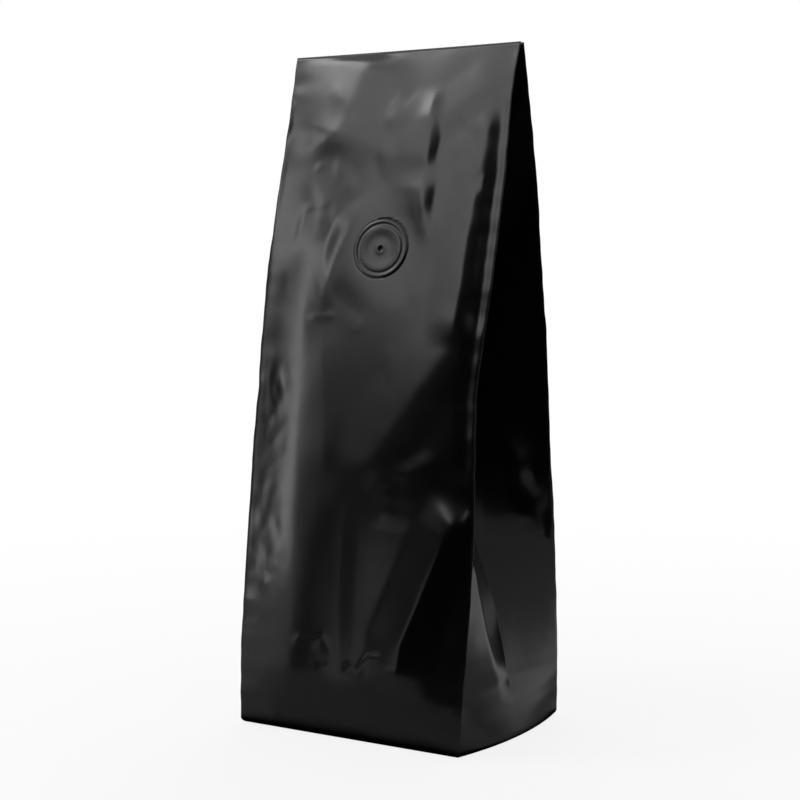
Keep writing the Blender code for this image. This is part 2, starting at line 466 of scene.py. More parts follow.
@dataclass(frozen=True)
class ValveSeat:
    """Where the valve sits on the front panel."""

    form: BagForm
    x: float = 0.0035
    z: float = 0.1975
    flat_radius: float = 0.0125
    blend_radius: float = 0.0280
    pocket_radius: float = 0.0116
    pocket_depth: float = 0.0016
    turn: float = 0.06

    def slopes(self) -> tuple[float, float]:
        """How fast the panel's Y changes across and up, at the valve."""
        step = 0.002
        across = self.form.front_y(self.x + step, self.z) - self.form.front_y(self.x - step, self.z)
        up = self.form.front_y(self.x, self.z + step) - self.form.front_y(self.x, self.z - step)
        return across / (2 * step) + self.turn, up / (2 * step)

    def matrix(self) -> Matrix:
        """The valve's place: its centre on the panel, with +Z along the panel's outward normal."""
        across, up = self.slopes()
        normal = Vector((across, -1, up)).normalized()
        centre = Vector((self.x, self.form.front_y(self.x, self.z), self.z))
        return Matrix.Translation(centre) @ normal.to_track_quat("Z", "Y").to_matrix().to_4x4()

    def settle(self, x: Grid, z: Grid, y: Grid) -> Grid:
        """Flatten the panel round the valve and sink a pocket under it.

        Args:
            x: X of the panel's points.
            z: Z of the panel's points.
            y: Y of the panel's points with their creases.

        Returns:
            The new Y of the points.
        """
        across, up = self.slopes()
        centre = self.form.front_y(self.x, self.z)
        plane = centre + across * (x - self.x) + up * (z - self.z)
        away = np.hypot(x - self.x, (z - self.z) * math.hypot(1, up))
        hold = 1 - smooth((away - self.flat_radius) / (self.blend_radius - self.flat_radius))
        settled = y + (plane - y) * hold
        pocket = smooth((self.pocket_radius - away) / 0.0008)
        return settled + self.pocket_depth * pocket


# --- The film bag ---


RIGHT_FRONT_FOLD = ((0, 0.0), (10, 0.3), (20, 0.7), (34, 1.3), (48, 2.3), (78, 2.5), (95, 2.0), (108, 0.9),
                    (122, -0.2), (143, -1.7), (160, -0.6), (181, 0.6), (225, 1.1), (262, -1.0), (277, 0.0))
LEFT_FRONT_FOLD = ((0, 0.3), (8, 0.4), (34, -0.1), (46, 0.5), (71, 0.9), (97, 1.1), (109, 0.9), (122, 0.7),
                   (134, 1.1), (147, 0.7), (160, 0.1), (172, 0.1), (185, -0.6), (197, -0.2), (222, 0.2),
                   (247, 0.8), (260, 0.5), (277, 0.0))
RIGHT_BACK_FOLD = ((0, 0.3), (17, 0.45), (42, 0.4), (54, 0.1), (79, -0.1), (92, -0.3), (104, -0.85),
                   (117, -1.05), (142, -0.65), (154, -0.6), (167, -0.2), (179, -0.65), (204, -0.5),
                   (217, 0.0), (254, -0.3), (277, -0.6))
LEFT_BACK_FOLD = ((0, -0.3), (20, -0.5), (45, -0.3), (80, 0.2), (100, 0.6), (140, 0.7), (175, 0.2),
                  (200, 0.6), (240, 0.2), (277, 0.4))


@dataclass
class Strip:
    """One stretch of every cross-section: columns of points by rows of heights."""

    x: Grid
    y: Grid
    wear: Grid


@dataclass
class FilmBag:
    """The film of the bag as one closed mesh."""

    form: BagForm
    seat: ValveSeat
    front_columns: int = 116
    back_columns: int = 78
    gusset_columns: int = 28
    fold_points: int = 5
    row_step: float = 0.00117
    rim_rows: int = 9
    lip_thickness: float = 0.00022
    lip_depth: float = 0.0028
    base_recess: float = 0.0006
    flap_rise: float = 0.00015
    middle_shrink: float = 0.985
    base_rings: int = 10
    fold_wander: float = 0.0002
    crease_gap: float = 0.008
    top_rise: float = 0.0006
    near_fold: tuple[float, float] = (0.0006, 0.0014)
    inner_reach: float = 0.954
    relief_fade: float = 0.0025
    marks_front: tuple = FRONT_MARKS
    marks_back: tuple = BACK_MARKS
    heights: Grid = field(init=False)

    def __post_init__(self) -> None:
        """Lay out the rows of the mesh."""
        radius = self.form.rim_radius
        rim = radius * (1 - np.cos(np.linspace(0, math.pi / 2, self.rim_rows, endpoint=False)))
        count = int((self.form.height - radius) / self.row_step)
        self.heights = np.concatenate([rim, np.linspace(radius, self.form.height, count)])

    def wander(self, z: Grid, seed: int) -> Grid:
        """How far a long fold strays to and fro at each height."""
        up = z / MM
        fine = lattice_noise(up / 8 + seed, np.full_like(up, 0.61 * seed), 302)
        held = smooth(up / 14) * smooth((self.form.height / MM - up) / 10)
        return self.fold_wander * fine * held

    def edge_shift(self, z: Grid, side: Side, front: bool) -> tuple[Grid, Grid]:
        """How far one of the four long folds strays in X and Y."""
        folds = {(Side.RIGHT, True): RIGHT_FRONT_FOLD, (Side.LEFT, True): LEFT_FRONT_FOLD,
                 (Side.RIGHT, False): RIGHT_BACK_FOLD, (Side.LEFT, False): LEFT_BACK_FOLD}
        places, shifts = zip(*folds[side, front])
        held = np.clip(z / MM, 0, places[-1])
        drawn = sum(np.interp(held + step, places, shifts) for step in (-5, -2.5, 0, 2.5, 5)) / 5 * MM
        seed = (3 if front else 7) + (1 if side is Side.RIGHT else 0)
        return drawn + self.wander(z, seed), self.wander(z, seed + 20)

    def panel(self, front: bool) -> Strip:
        """The front or back panel, from the left fold to the right one."""
        z = self.heights[:, None]
        columns = self.front_columns if front else self.back_columns
        reach = self.form.half_width(z) - self.form.fold_radius
        near_fold = np.array(self.near_fold) / self.form.base_half_width
        inner = np.linspace(-self.inner_reach, self.inner_reach, columns)
        share = np.concatenate([-1 + near_fold, inner, 1 - near_fold[::-1]])[None, :]
        x = share * reach
        marks = self.marks_front if front else self.marks_back
        relief = total_relief(marks, x / MM, z / MM)
        inside = smooth((1 - np.abs(share)) * self.form.base_half_width / self.relief_fade)
        ease = smooth(z / 0.006) * smooth((self.form.height - z) / 0.004 + 0.15)
        relief = relief * inside * ease
        y = self.form.front_y(x, z) - relief if front else self.form.back_y(x, z) + relief
        for side in Side:
            pull = smooth((side.value * share + 1) / 2) ** 4
            dx, dy = self.edge_shift(z, side, front)
            x = x + dx * pull
            y = y + dy * pull ** 12
        if front:
            y = self.seat.settle(x, z, y)
        return Strip(x, y, smooth((np.abs(share) - 0.985) / 0.015) + np.zeros_like(x))

    def fold_arc(self, side: Side, front: bool, ends: tuple[Grid, Grid]) -> Strip:
        """A long fold as a small arc between two facing angles."""
        z = self.heights[:, None]
        radius = self.form.fold_radius
        dx, dy = self.edge_shift(z, side, front)
        centre_x = self.form.half_width(z) - radius + dx * side.value
        edge = self.form.front_edge(z) + radius if front else self.form.back_edge(z) - radius
        along = np.linspace(0, 1, self.fold_points)[None, :]
        angle = ends[0] + (ends[1] - ends[0]) * along
        x = centre_x + radius * np.cos(angle)
        y = edge + dy + radius * np.sin(angle)
        return Strip(x, y, np.ones_like(x))

    def gusset(self, side: Side) -> list[Strip]:
        """One side as seen from the right: front fold, front half, back half and back fold."""
        z = self.heights[:, None]
        radius = self.form.fold_radius
        width = self.form.half_width(z)
        depth = self.form.gusset_depth(z)
        front = self.form.front_edge(z) + radius
        back = self.form.back_edge(z) - radius
        middle = (front + back) / 2
        half = middle - front
        lean = np.arctan2(depth, half)
        front_arc = self.fold_arc(side, True, (np.full_like(z, -math.pi / 2), lean))
        back_arc = self.fold_arc(side, False, (-lean, np.full_like(z, math.pi / 2)))
        fold_x, fold_y = width - depth, middle + self.wander(z, 40 + side.value) * 0.8
        halves = []
        for arc, is_front in ((front_arc, True), (back_arc, False)):
            start_x, start_y = (arc.x[:, -1:], arc.y[:, -1:]) if is_front else (arc.x[:, :1], arc.y[:, :1])
            share = np.linspace(0, 1, self.gusset_columns + 1)[1:]
            share[-1] = 1 - self.crease_gap
            share = np.append(share, 1.0)[None, :] if is_front else share[None, :]
            x = start_x + (fold_x - start_x) * share
            y = start_y + (fold_y - start_y) * share
            length = np.hypot(half, depth)
            out_x, out_y = half / length, (depth if is_front else -depth) / length
            seed = 200 + 40 * side.value + (5 if is_front else 0)
            relief = total_relief(gusset_marks(seed, is_front), share * length / MM, z / MM)
            held = smooth(share / 0.12) * smooth((1 - share) / 0.1)
            held = held * smooth((z - 0.02) / 0.03) * smooth((self.form.height - z) / 0.05)
            if is_front:
                x = x + self.form.facet(z, share)
            bulge = self.form.side_swelling(z) * (1 - (1 - share) ** 2)
            x = x + out_x * relief * held + bulge
            y = y + out_y * relief * held
            halves.append(Strip(x, y, np.zeros_like(x)))
        reverse = Strip(*(values[:, ::-1] for values in (halves[1].x, halves[1].y, halves[1].wear)))
        return [front_arc, halves[0], reverse, back_arc]

    def rings(self) -> Strip:
        """Every cross-section in full, anticlockwise seen from above."""
        front, back = self.panel(True), self.panel(False)
        strips = [front, *self.gusset(Side.RIGHT)]
        strips.append(Strip(back.x[:, ::-1], back.y[:, ::-1], back.wear[:, ::-1]))
        for strip in reversed(self.gusset(Side.LEFT)):
            strips.append(Strip(-strip.x[:, ::-1], strip.y[:, ::-1], strip.wear[:, ::-1]))
        parts = [np.concatenate([getattr(s, name) for s in strips], axis=1) for name in ("x", "y", "wear")]
        return Strip(*parts)

    def rim_scale(self, z: Grid) -> tuple[Grid, Grid]:
        """How much the rounded base rim shrinks a cross-section across and along."""
        radius = self.form.rim_radius
        below = np.clip(radius - z, 0, radius)
        inset = radius - np.sqrt(np.maximum(radius ** 2 - below ** 2, 0))
        return 1 - inset / self.form.base_half_width, 1 - inset / self.form.base_half_depth

    def tilt(self, x: Grid, z: float) -> Grid:
        """How far the top edge rises towards the right."""
        return self.top_rise * (x / self.form.top_half_width + 0.2) * (z / self.form.height) ** 10

    def lip(self, rings: Strip, row: int) -> Grid:
        """One cross-section moved inwards by the film's thickness."""
        x, y = rings.x[row], rings.y[row]
        back, ahead = np.roll(np.stack([x, y]), 1, axis=1), np.roll(np.stack([x, y]), -1, axis=1)
        along = ahead - back
        along = along / np.maximum(np.hypot(*along), 1e-9)
        return np.stack([x - along[1] * self.lip_thickness, y + along[0] * self.lip_thickness])

    def base_ring(self, x: Grid, y: Grid, share: float) -> tuple:
        """One ring of the underside, drawn in towards the seal across the middle.

        Args:
            x: X of the rim.
            y: Y of the rim.
            share: How far the ring lies inwards, from 0 at the rim to 1 at the middle.

        Returns:
            X, Y and Z of the ring.
        """
        ring_x, ring_y = x * (1 - self.middle_shrink * share), y * (1 - self.middle_shrink * share)
        flap = np.abs(x) / self.form.base_half_width > np.abs(y) / self.form.base_half_depth
        rise = self.base_recess * smooth(np.asarray(share / 0.10))
        return ring_x, ring_y, rise - np.where(flap, self.flap_rise, 0.0) * (share > 0.1)

    def mesh(self) -> Mesh:
        """The closed film mesh with its wear attribute."""
        rings = self.rings()
        across, along = self.rim_scale(self.heights)
        layers = []
        base_x, base_y = rings.x[0] * across[0], rings.y[0] * along[0]
        for step in range(self.base_rings, 0, -1):
            x, y, z = self.base_ring(base_x, base_y, (step / self.base_rings) ** 1.4)
            layers.append((x, y, z + np.zeros_like(x), np.zeros_like(x)))
        for row, z in enumerate(self.heights):
            x, y = rings.x[row] * across[row], rings.y[row] * along[row]
            layers.append((x, y, z + self.tilt(x, z), rings.wear[row]))
        top = len(self.heights) - 1
        below = int(np.searchsorted(self.heights, self.form.height - self.lip_depth))
        for row, z in ((top, self.form.height), (below, self.heights[below])):
            x, y = self.lip(rings, row)
            layers.append((x, y, z + self.tilt(x, z), np.ones_like(x)))
        return self.stitch(layers)

    @staticmethod
    def stitch(layers: list) -> Mesh:
        """Join the layers of points into a closed mesh.

        Args:
            layers: X, Y, Z and wear of each ring, from the base's middle to the bottom of the top's slit.

        Returns:
            The mesh.
        """
        count = len(layers[0][0])
        points = np.concatenate([np.stack(layer[:3], axis=1) for layer in layers])
        wear = np.concatenate([layer[3] for layer in layers])
        here = np.arange(count)
        after = (here + 1) % count
        faces = []
        for row in range(len(layers) - 1):
            low, high = row * count, (row + 1) * count
            faces += np.stack([low + here, low + after, high + after, high + here], axis=1).tolist()
        last = (len(layers) - 1) * count
        faces.append((last + here).tolist())
        faces.append(here[::-1].tolist())
        mesh = bpy.data.meshes.new("film_bag")
        mesh.from_pydata(points.tolist(), [], faces)
        attribute = mesh.attributes.new("wear", "FLOAT", "POINT")
        attribute.data.foreach_set("value", wear.astype(np.float32))
        shape = bmesh.new()
        shape.from_mesh(mesh)
        bmesh.ops.triangulate(shape, faces=[f for f in shape.faces if len(f.verts) > 4])
        shape.to_mesh(mesh)
        shape.free()
        mesh.shade_smooth()
        mesh.validate()
        return mesh

    def build(self, finish: "FilmFinish") -> Object:
        """Make the film bag, which stands for the CAD bag."""
        bag = add_piece("film_bag", self.mesh(), finish.material())
        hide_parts("bag")
        return bag


def stand(name: str, data: object) -> Object:
    """Put an object with this mesh, lamp or camera into the scene."""
    made = bpy.data.objects.new(name, data)
    bpy.context.scene.collection.objects.link(made)
    return made


def add_piece(name: str, mesh: Mesh, material: Material) -> Object:
    """Put a finished mesh into the scene as a piece of the bag.

    Args:
        name: The piece's name.
        mesh: Its mesh, in the part's frame.
        material: Its material.

    Returns:
        The piece.
    """
    piece = stand(name, mesh)
    mesh.materials.clear()
    mesh.materials.append(material)
    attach(piece, BODY)
    LOG.info("%s: %d faces", name, len(mesh.polygons))
    return piece


def evaluated_mesh(source: Object, name: str) -> Mesh:
    """The mesh of an object with its modifiers applied; the object is removed."""
    graph = bpy.context.evaluated_depsgraph_get()
    mesh = bpy.data.meshes.new_from_object(source.evaluated_get(graph), depsgraph=graph)
    mesh.name = name
    bpy.data.objects.remove(source)
    return mesh


# --- Geometry Nodes: crimp ribs and valve rings ---


def wire(tree: bpy.types.NodeTree, *joints: tuple) -> None:
    """Join sockets of a tree.

    Args:
        tree: The node tree.
        joints: For each link its source node, output, target node and input.
    """
    for source, output, target, entry in joints:
        tree.links.new(source.outputs[output], target.inputs[entry])


class NodeTree:
    """A Geometry Nodes tree that is put together step by step."""

    def __init__(self, name: str) -> None:
        """Start a tree with a geometry input and output."""
        self.tree = bpy.data.node_groups.new(name, "GeometryNodeTree")
        self.tree.interface.new_socket("Geometry", in_out="INPUT", socket_type="NodeSocketGeometry")
        self.tree.interface.new_socket("Geometry", in_out="OUTPUT", socket_type="NodeSocketGeometry")
        self.start = self.tree.nodes.new("NodeGroupInput")
        self.end = self.tree.nodes.new("NodeGroupOutput")

    def ask(self, name: str, kind: str) -> str:
        """Add a named input and give its identifier."""
        made = self.tree.interface.new_socket(name, in_out="INPUT", socket_type="NodeSocket" + kind)
        return made.identifier

    def node(self, kind: str, **settings: object) -> Node:
        """Add a node and set its properties."""
        made = self.tree.nodes.new(kind)
        for key, value in settings.items():
            setattr(made, key, value)
        return made

    def close(self, geometry: NodeSocket) -> None:
        """End the tree in Realize Instances and Set Material."""
        real = self.node("GeometryNodeRealizeInstances")
        paint = self.node("GeometryNodeSetMaterial")
        self.tree.links.new(geometry, real.inputs["Geometry"])
        wire(self.tree, (real, "Geometry", paint, "Geometry"), (self.start, "Material", paint, "Material"),
             (paint, "Geometry", self.end, "Geometry"))


def rib_tree() -> tuple[bpy.types.NodeTree, dict[str, str]]:
    """A tree that sets rounded ribs along a path.

    Returns:
        The tree, and the identifier of each input by name.
    """
    make = NodeTree("crimp_ribs")
    kinds = {"Pitch": "Float", "Length": "Float", "Radius": "Float", "Turn": "Rotation",
             "Material": "Material"}
    keys = {name: make.ask(name, kind) for name, kind in kinds.items()}
    curve = make.node("GeometryNodeMeshToCurve")
    points = make.node("GeometryNodeCurveToPoints", mode="LENGTH")
    rib = make.node("GeometryNodeMeshCylinder", fill_type="TRIANGLE_FAN")
    rib.inputs["Vertices"].default_value = 8
    place = make.node("GeometryNodeInstanceOnPoints")
    wire(make.tree, (make.start, "Geometry", curve, "Mesh"), (curve, "Curve", points, "Curve"),
         (make.start, "Pitch", points, "Length"), (make.start, "Radius", rib, "Radius"),
         (make.start, "Length", rib, "Depth"), (points, "Points", place, "Points"),
         (rib, "Mesh", place, "Instance"), (make.start, "Turn", place, "Rotation"))
    make.close(place.outputs["Instances"])
    return make.tree, keys


def ring_tree() -> tuple[bpy.types.NodeTree, dict[str, str]]:
    """A tree that makes evenly spaced round rings in the XY plane.

    Returns:
        The tree, and the identifier of each input by name.
    """
    make = NodeTree("valve_rings")
    kinds = {"Count": "Int", "First": "Float", "Spacing": "Float", "Wire": "Float", "Height": "Float",
             "Material": "Material"}
    keys = {name: make.ask(name, kind) for name, kind in kinds.items()}
    line = make.node("GeometryNodeMeshLine", mode="OFFSET")
    line.inputs["Offset"].default_value = (0, 0, 0)
    circle = make.node("GeometryNodeCurvePrimitiveCircle", mode="RADIUS")
    circle.inputs["Resolution"].default_value = 96
    circle.inputs["Radius"].default_value = 1.0
    place = make.node("GeometryNodeInstanceOnPoints")
    index = make.node("GeometryNodeInputIndex")
    spread = make.node("ShaderNodeMath", operation="MULTIPLY_ADD")
    real = make.node("GeometryNodeRealizeInstances")
    tube = make.node("GeometryNodeCurvePrimitiveCircle", mode="RADIUS")
    tube.inputs["Resolution"].default_value = 10
    sweep = make.node("GeometryNodeCurveToMesh")
    lift = make.node("GeometryNodeTransform")
    offset = make.node("ShaderNodeCombineXYZ")
    wire(make.tree, (make.start, "Count", line, "Count"), (line, "Mesh", place, "Points"),
         (circle, "Curve", place, "Instance"), (index, "Index", spread, 0),
         (make.start, "Spacing", spread, 1), (make.start, "First", spread, 2),
         (spread, "Value", place, "Scale"), (place, "Instances", real, "Geometry"),
         (real, "Geometry", sweep, "Curve"), (make.start, "Wire", tube, "Radius"),
         (tube, "Curve", sweep, "Profile Curve"), (sweep, "Mesh", lift, "Geometry"),
         (make.start, "Height", offset, "Z"), (offset, "Vector", lift, "Translation"))
    make.close(lift.outputs["Geometry"])
    return make.tree, keys


def run_tree(tree: bpy.types.NodeTree, keys: dict[str, str], mesh: Mesh, values: dict,
             name: str) -> Mesh:
    """Run a Geometry Nodes tree on a mesh.

    Args:
        tree: The tree.
        keys: The identifier of each input by name.
        mesh: The mesh that goes in.
        values: The value of each input by name.
        name: The name of the mesh that comes out.

    Returns:
        The finished mesh.
    """
    holder = stand(name, mesh)
    modifier = holder.modifiers.new(name, "NODES")
    modifier.node_group = tree
    for key, value in values.items():
        modifier[keys[key]] = value
    return evaluated_mesh(holder, name)


# --- Seals ---


@dataclass
class Seal:
    """A folded, heat-crimped seal that lies flat on the film along a path."""

    name: str
    path: Grid
    across: tuple[float, float, float]
    out: Grid
    half_width: float
    thickness: float = 0.0006
    pitch: float = 0.0016
    rib: float = 0.00028
    sink: float = 0.0004
    bevel: float = 0.85

    def strip(self) -> Mesh:
        """The flat strip as a closed band that follows its path."""
        side = np.array(self.across) * self.half_width
        sunk = self.out * self.sink
        proud = self.out * self.thickness
        loops = [self.path - side - sunk, self.path + side - sunk, self.path + side + proud * 0.6,
                 self.path + side * self.bevel + proud, self.path - side * self.bevel + proud,
                 self.path - side + proud * 0.6]
        count = len(self.path)
        points = np.concatenate(loops)
        faces = []
        for edge in range(len(loops)):
            here, after = edge * count, (edge + 1) % len(loops) * count
            for row in range(count - 1):
                faces.append((here + row, after + row, after + row + 1, here + row + 1))
        faces.append([edge * count for edge in range(len(loops))][::-1])
        faces.append([edge * count + count - 1 for edge in range(len(loops))])
        mesh = bpy.data.meshes.new(self.name)
        mesh.from_pydata(points.tolist(), [], faces)
        shape = bmesh.new()
        shape.from_mesh(mesh)
        bmesh.ops.recalc_face_normals(shape, faces=shape.faces)
        shape.to_mesh(mesh)
        shape.free()
        return mesh

    def ribs(self, material: Material) -> Mesh:
        """The crimp ribs across the strip."""
        tree, keys = rib_tree()
        line = bpy.data.meshes.new("rib_path")
        points = self.path + self.out * (self.thickness - self.rib * 0.45)
        line.from_pydata(points.tolist(), [(i, i + 1) for i in range(len(points) - 1)], [])
        turn = Vector((0, 0, 1)).rotation_difference(Vector(self.across)).to_euler()
        values = {"Pitch": self.pitch, "Length": self.half_width * 1.7, "Radius": self.rib,
                  "Turn": turn, "Material": material}
        return run_tree(tree, keys, line, values, self.name + "_ribs")

    def build(self, finish: "FilmFinish") -> None:
        """Make the strip and its ribs."""
        material = finish.material()
        add_piece(self.name, self.strip(), material)
        add_piece(self.name + "_ribs", self.ribs(material), material)


def fin_seal(form: BagForm) -> Seal:
    """The folded fin seal down the middle of the back."""
    z = np.linspace(0.004, form.height - 0.0015, 90)
    y = form.back_y(np.zeros_like(z), z)
    slope = np.gradient(y, z)
    out = np.stack([np.zeros_like(z), np.ones_like(z), -slope], axis=1)
    out = out / np.linalg.norm(out, axis=1)[:, None]
    return Seal("fin_seal", np.stack([np.zeros_like(z), y, z], axis=1), (1, 0, 0), out, 0.005)


def base_seal(form: BagForm) -> Seal:
    """The folded seal across the underside of the base."""
    x = np.linspace(-0.047, 0.047, 40)
    path = np.stack([x, np.full_like(x, 0.0035), np.full_like(x, 0.00062)], axis=1)
    out = np.zeros_like(path)
    out[:, 2] = -1
    return Seal("base_seal", path, (0, 1, 0), out, 0.0072, thickness=0.0004, rib=0.0002)


# --- The valve ---


@dataclass
class DegassingValve:
    """The round one-way valve: a turned disc with fine rings, and a pinhole in its domed middle."""

    seat: ValveSeat
    steps: int = 128
    ring_count: int = 2
    first_ring: float = 0.0082
    ring_spacing: float = 0.0010
    ring_wire: float = 0.00014
    ring_height: float = 0.00049

    @staticmethod
    def profile() -> list[tuple[float, float]]:
        """Radius and height of the outline in mm, from the pinhole's floor out to the rim and under it."""
        return [(0.0, -0.9), (0.9, -0.9), (1.05, -0.7), (1.1, 0.18), (1.22, 0.30), (1.5, 0.33), (2.0, 0.27),
                (2.8, 0.18), (3.8, 0.12), (5.0, 0.18), (6.4, 0.33), (7.6, 0.50), (8.4, 0.57), (8.9, 0.56),
                (9.4, 0.47), (9.8, 0.37), (10.1, 0.34), (10.4, 0.36), (10.8, 0.48), (11.1, 0.54),
                (11.5, 0.53), (11.9, 0.42), (12.2, 0.24), (12.4, 0.04), (12.5, -0.25),
                (12.1, -0.6), (11.2, -0.9), (9.0, -1.1), (0.0, -1.1)]

    def disc(self) -> Mesh:
        """The turned disc, in the part's frame."""
        shape = bmesh.new()
        verts = [shape.verts.new((radius * MM, 0, height * MM)) for radius, height in self.profile()]
        for here, after in zip(verts, verts[1:]):
            shape.edges.new((here, after))
        mesh = bpy.data.meshes.new("valve_profile")
        shape.to_mesh(mesh)
        shape.free()
        holder = stand("valve_profile", mesh)
        turned = holder.modifiers.new("turned", "SCREW")
        turned.steps = turned.render_steps = self.steps
        turned.use_merge_vertices = True
        turned.merge_threshold = 0.000001
        made = evaluated_mesh(holder, "valve_disc")
        made.transform(self.seat.matrix())
        made.shade_smooth()
        return made

    def rings(self, material: Material) -> Mesh:
        """The fine raised rings, in the part's frame."""
        tree, keys = ring_tree()
        values = {"Count": self.ring_count, "First": self.first_ring, "Spacing": self.ring_spacing,
                  "Wire": self.ring_wire, "Height": self.ring_height, "Material": material}
        made = run_tree(tree, keys, bpy.data.meshes.new("seed"), values, "valve_rings")
        made.transform(self.seat.matrix())
        made.shade_smooth()
        return made

    def build(self, finish: "FilmFinish") -> None:
        """Make the disc, which stands for the CAD valve, and its rings."""
        material = finish.material()
        disc = add_piece("valve_disc", self.disc(), material)
        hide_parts("valve")
        add_piece("valve_rings", self.rings(material), material)


# --- Finishes ---


def film_grain_group() -> bpy.types.NodeTree:
    """The shared film surface: cloudy tone and gloss, worn folds, and a fine orange-peel height.

    Returns:
        A shader node group with named inputs and outputs.
    """
    name = "film_grain"
    if name in bpy.data.node_groups:
        return bpy.data.node_groups[name]
    group = bpy.data.node_groups.new(name, "ShaderNodeTree")
    face = group.interface
    face.new_socket("Vector", in_out="INPUT", socket_type="NodeSocketVector")
    for label, kind in (("Tone", "Color"), ("Worn Tone", "Color"), ("Wear", "Float"), ("Roughness", "Float"),
                        ("Spread", "Float"), ("Grain", "Float")):
        face.new_socket(label, in_out="INPUT", socket_type="NodeSocket" + kind)
    for label, kind in (("Color", "Color"), ("Roughness", "Float"), ("Height", "Float")):
        face.new_socket(label, in_out="OUTPUT", socket_type="NodeSocket" + kind)
    nodes, link = group.nodes, group.links.new
    start, end = nodes.new("NodeGroupInput"), nodes.new("NodeGroupOutput")

    def noise(scale: float, detail: float) -> Node:
        """A noise texture on the group's coordinates."""
        made = nodes.new("ShaderNodeTexNoise")
        made.inputs["Scale"].default_value = scale
        made.inputs["Detail"].default_value = detail
        link(start.outputs["Vector"], made.inputs["Vector"])
        return made

    def maths(operation: str, first: object, second: object, third: object = None) -> NodeSocket:
        """A maths node on sockets or numbers."""
        made = nodes.new("ShaderNodeMath")
        made.operation = operation
        for slot, value in zip(made.inputs, (first, second, third)):
            if isinstance(value, NodeSocket):
                link(value, slot)
            elif value is not None:
                slot.default_value = value
        return made.outputs["Value"]

    clouds, smears = noise(CLOUD_SCALE, 4.0), noise(SMEAR_SCALE, 3.0)
    grain = noise(1.0, 2.0)
    link(start.outputs["Grain"], grain.inputs["Scale"])
    centred = maths("SUBTRACT", clouds.outputs["Fac"], 0.5)
    fine = maths("MULTIPLY_ADD", smears.outputs["Fac"], 0.5, -0.25)
    uneven = maths("ADD", centred, fine)
    rough = maths("MULTIPLY_ADD", uneven, start.outputs["Spread"], start.outputs["Roughness"])
    patchy = maths("MULTIPLY", start.outputs["Wear"], smears.outputs["Fac"])
    rough = maths("MULTIPLY_ADD", patchy, WORN_ROUGHNESS, rough)
    mix = nodes.new("ShaderNodeMix")
    mix.data_type = "RGBA"
    link(patchy, mix.inputs["Factor"])
    wire(group, (start, "Tone", mix, "A"), (start, "Worn Tone", mix, "B"))
    height = maths("MULTIPLY_ADD", smears.outputs["Fac"], 3.0, grain.outputs["Fac"])
    link(mix.outputs["Result"], end.inputs["Color"])
    link(rough, end.inputs["Roughness"])
    link(height, end.inputs["Height"])
    return group


@dataclass(frozen=True)
class FilmFinish:
    """A matte black laminate or moulding: dark, satin, a little uneven."""

    name: str
    tone: float = 0.0012
    worn_tone: float = 0.006
    roughness: float = 0.205
    spread: float = 0.06
    grain: float = 1600.0
    grain_height: float = 0.000004
    specular: float = 0.5

    def material(self) -> Material:
        """The finish as a node material, made once."""
        if self.name in bpy.data.materials:
            return bpy.data.materials[self.name]
        material = bpy.data.materials.new(self.name)
        material.use_nodes = True
        nodes = material.node_tree.nodes
        shader = nodes["Principled BSDF"]
        shader.inputs["Specular IOR Level"].default_value = self.specular
        shader.inputs["Metallic"].default_value = 0.0
        place = nodes.new("ShaderNodeTexCoord")
        wear = nodes.new("ShaderNodeAttribute")
        wear.attribute_name = "wear"
        surface = nodes.new("ShaderNodeGroup")
        surface.node_tree = film_grain_group()
        surface.inputs["Tone"].default_value = (self.tone, self.tone, self.tone, 1)
        surface.inputs["Worn Tone"].default_value = (self.worn_tone, self.worn_tone, self.worn_tone, 1)
        surface.inputs["Roughness"].default_value = self.roughness
        surface.inputs["Spread"].default_value = self.spread
        surface.inputs["Grain"].default_value = self.grain
        bump = nodes.new("ShaderNodeBump")
        bump.inputs["Strength"].default_value = 1.0
        bump.inputs["Distance"].default_value = self.grain_height
        wire(material.node_tree, (place, "Object", surface, "Vector"), (wear, "Fac", surface, "Wear"),
             (surface, "Color", shader, "Base Color"), (surface, "Roughness", shader, "Roughness"),
             (surface, "Height", bump, "Height"), (bump, "Normal", shader, "Normal"))
        return material


# --- The studio ---


def heading(azimuth: float, elevation: float) -> Vector:
    """The direction at an azimuth (0 is -Y, 90 is +X) and elevation, in degrees."""
    turn, tilt = math.radians(azimuth), math.radians(elevation)
    return Vector((math.sin(turn) * math.cos(tilt), -math.cos(turn) * math.cos(tilt), math.sin(tilt)))


@dataclass(frozen=True)
class Softbox:
    """A white area lamp that faces the bag."""

    name: str
    azimuth: float
    elevation: float
    distance: float
    size: tuple[float, float]
    radiance: float

    def build(self, target: Vector) -> None:
        """Hang the softbox.

        Args:
            target: The point that it faces.
        """
        lamp = bpy.data.lights.new(self.name, "AREA")
        lamp.shape = "RECTANGLE"
        lamp.size, lamp.size_y = self.size
        lamp.energy = self.radiance * self.size[0] * self.size[1] * math.pi
        holder = stand(self.name, lamp)
        back = heading(self.azimuth, self.elevation)
        place = back.to_track_quat("Z", "Y").to_matrix().to_4x4()
        holder.matrix_world = Matrix.Translation(target + back * self.distance) @ place


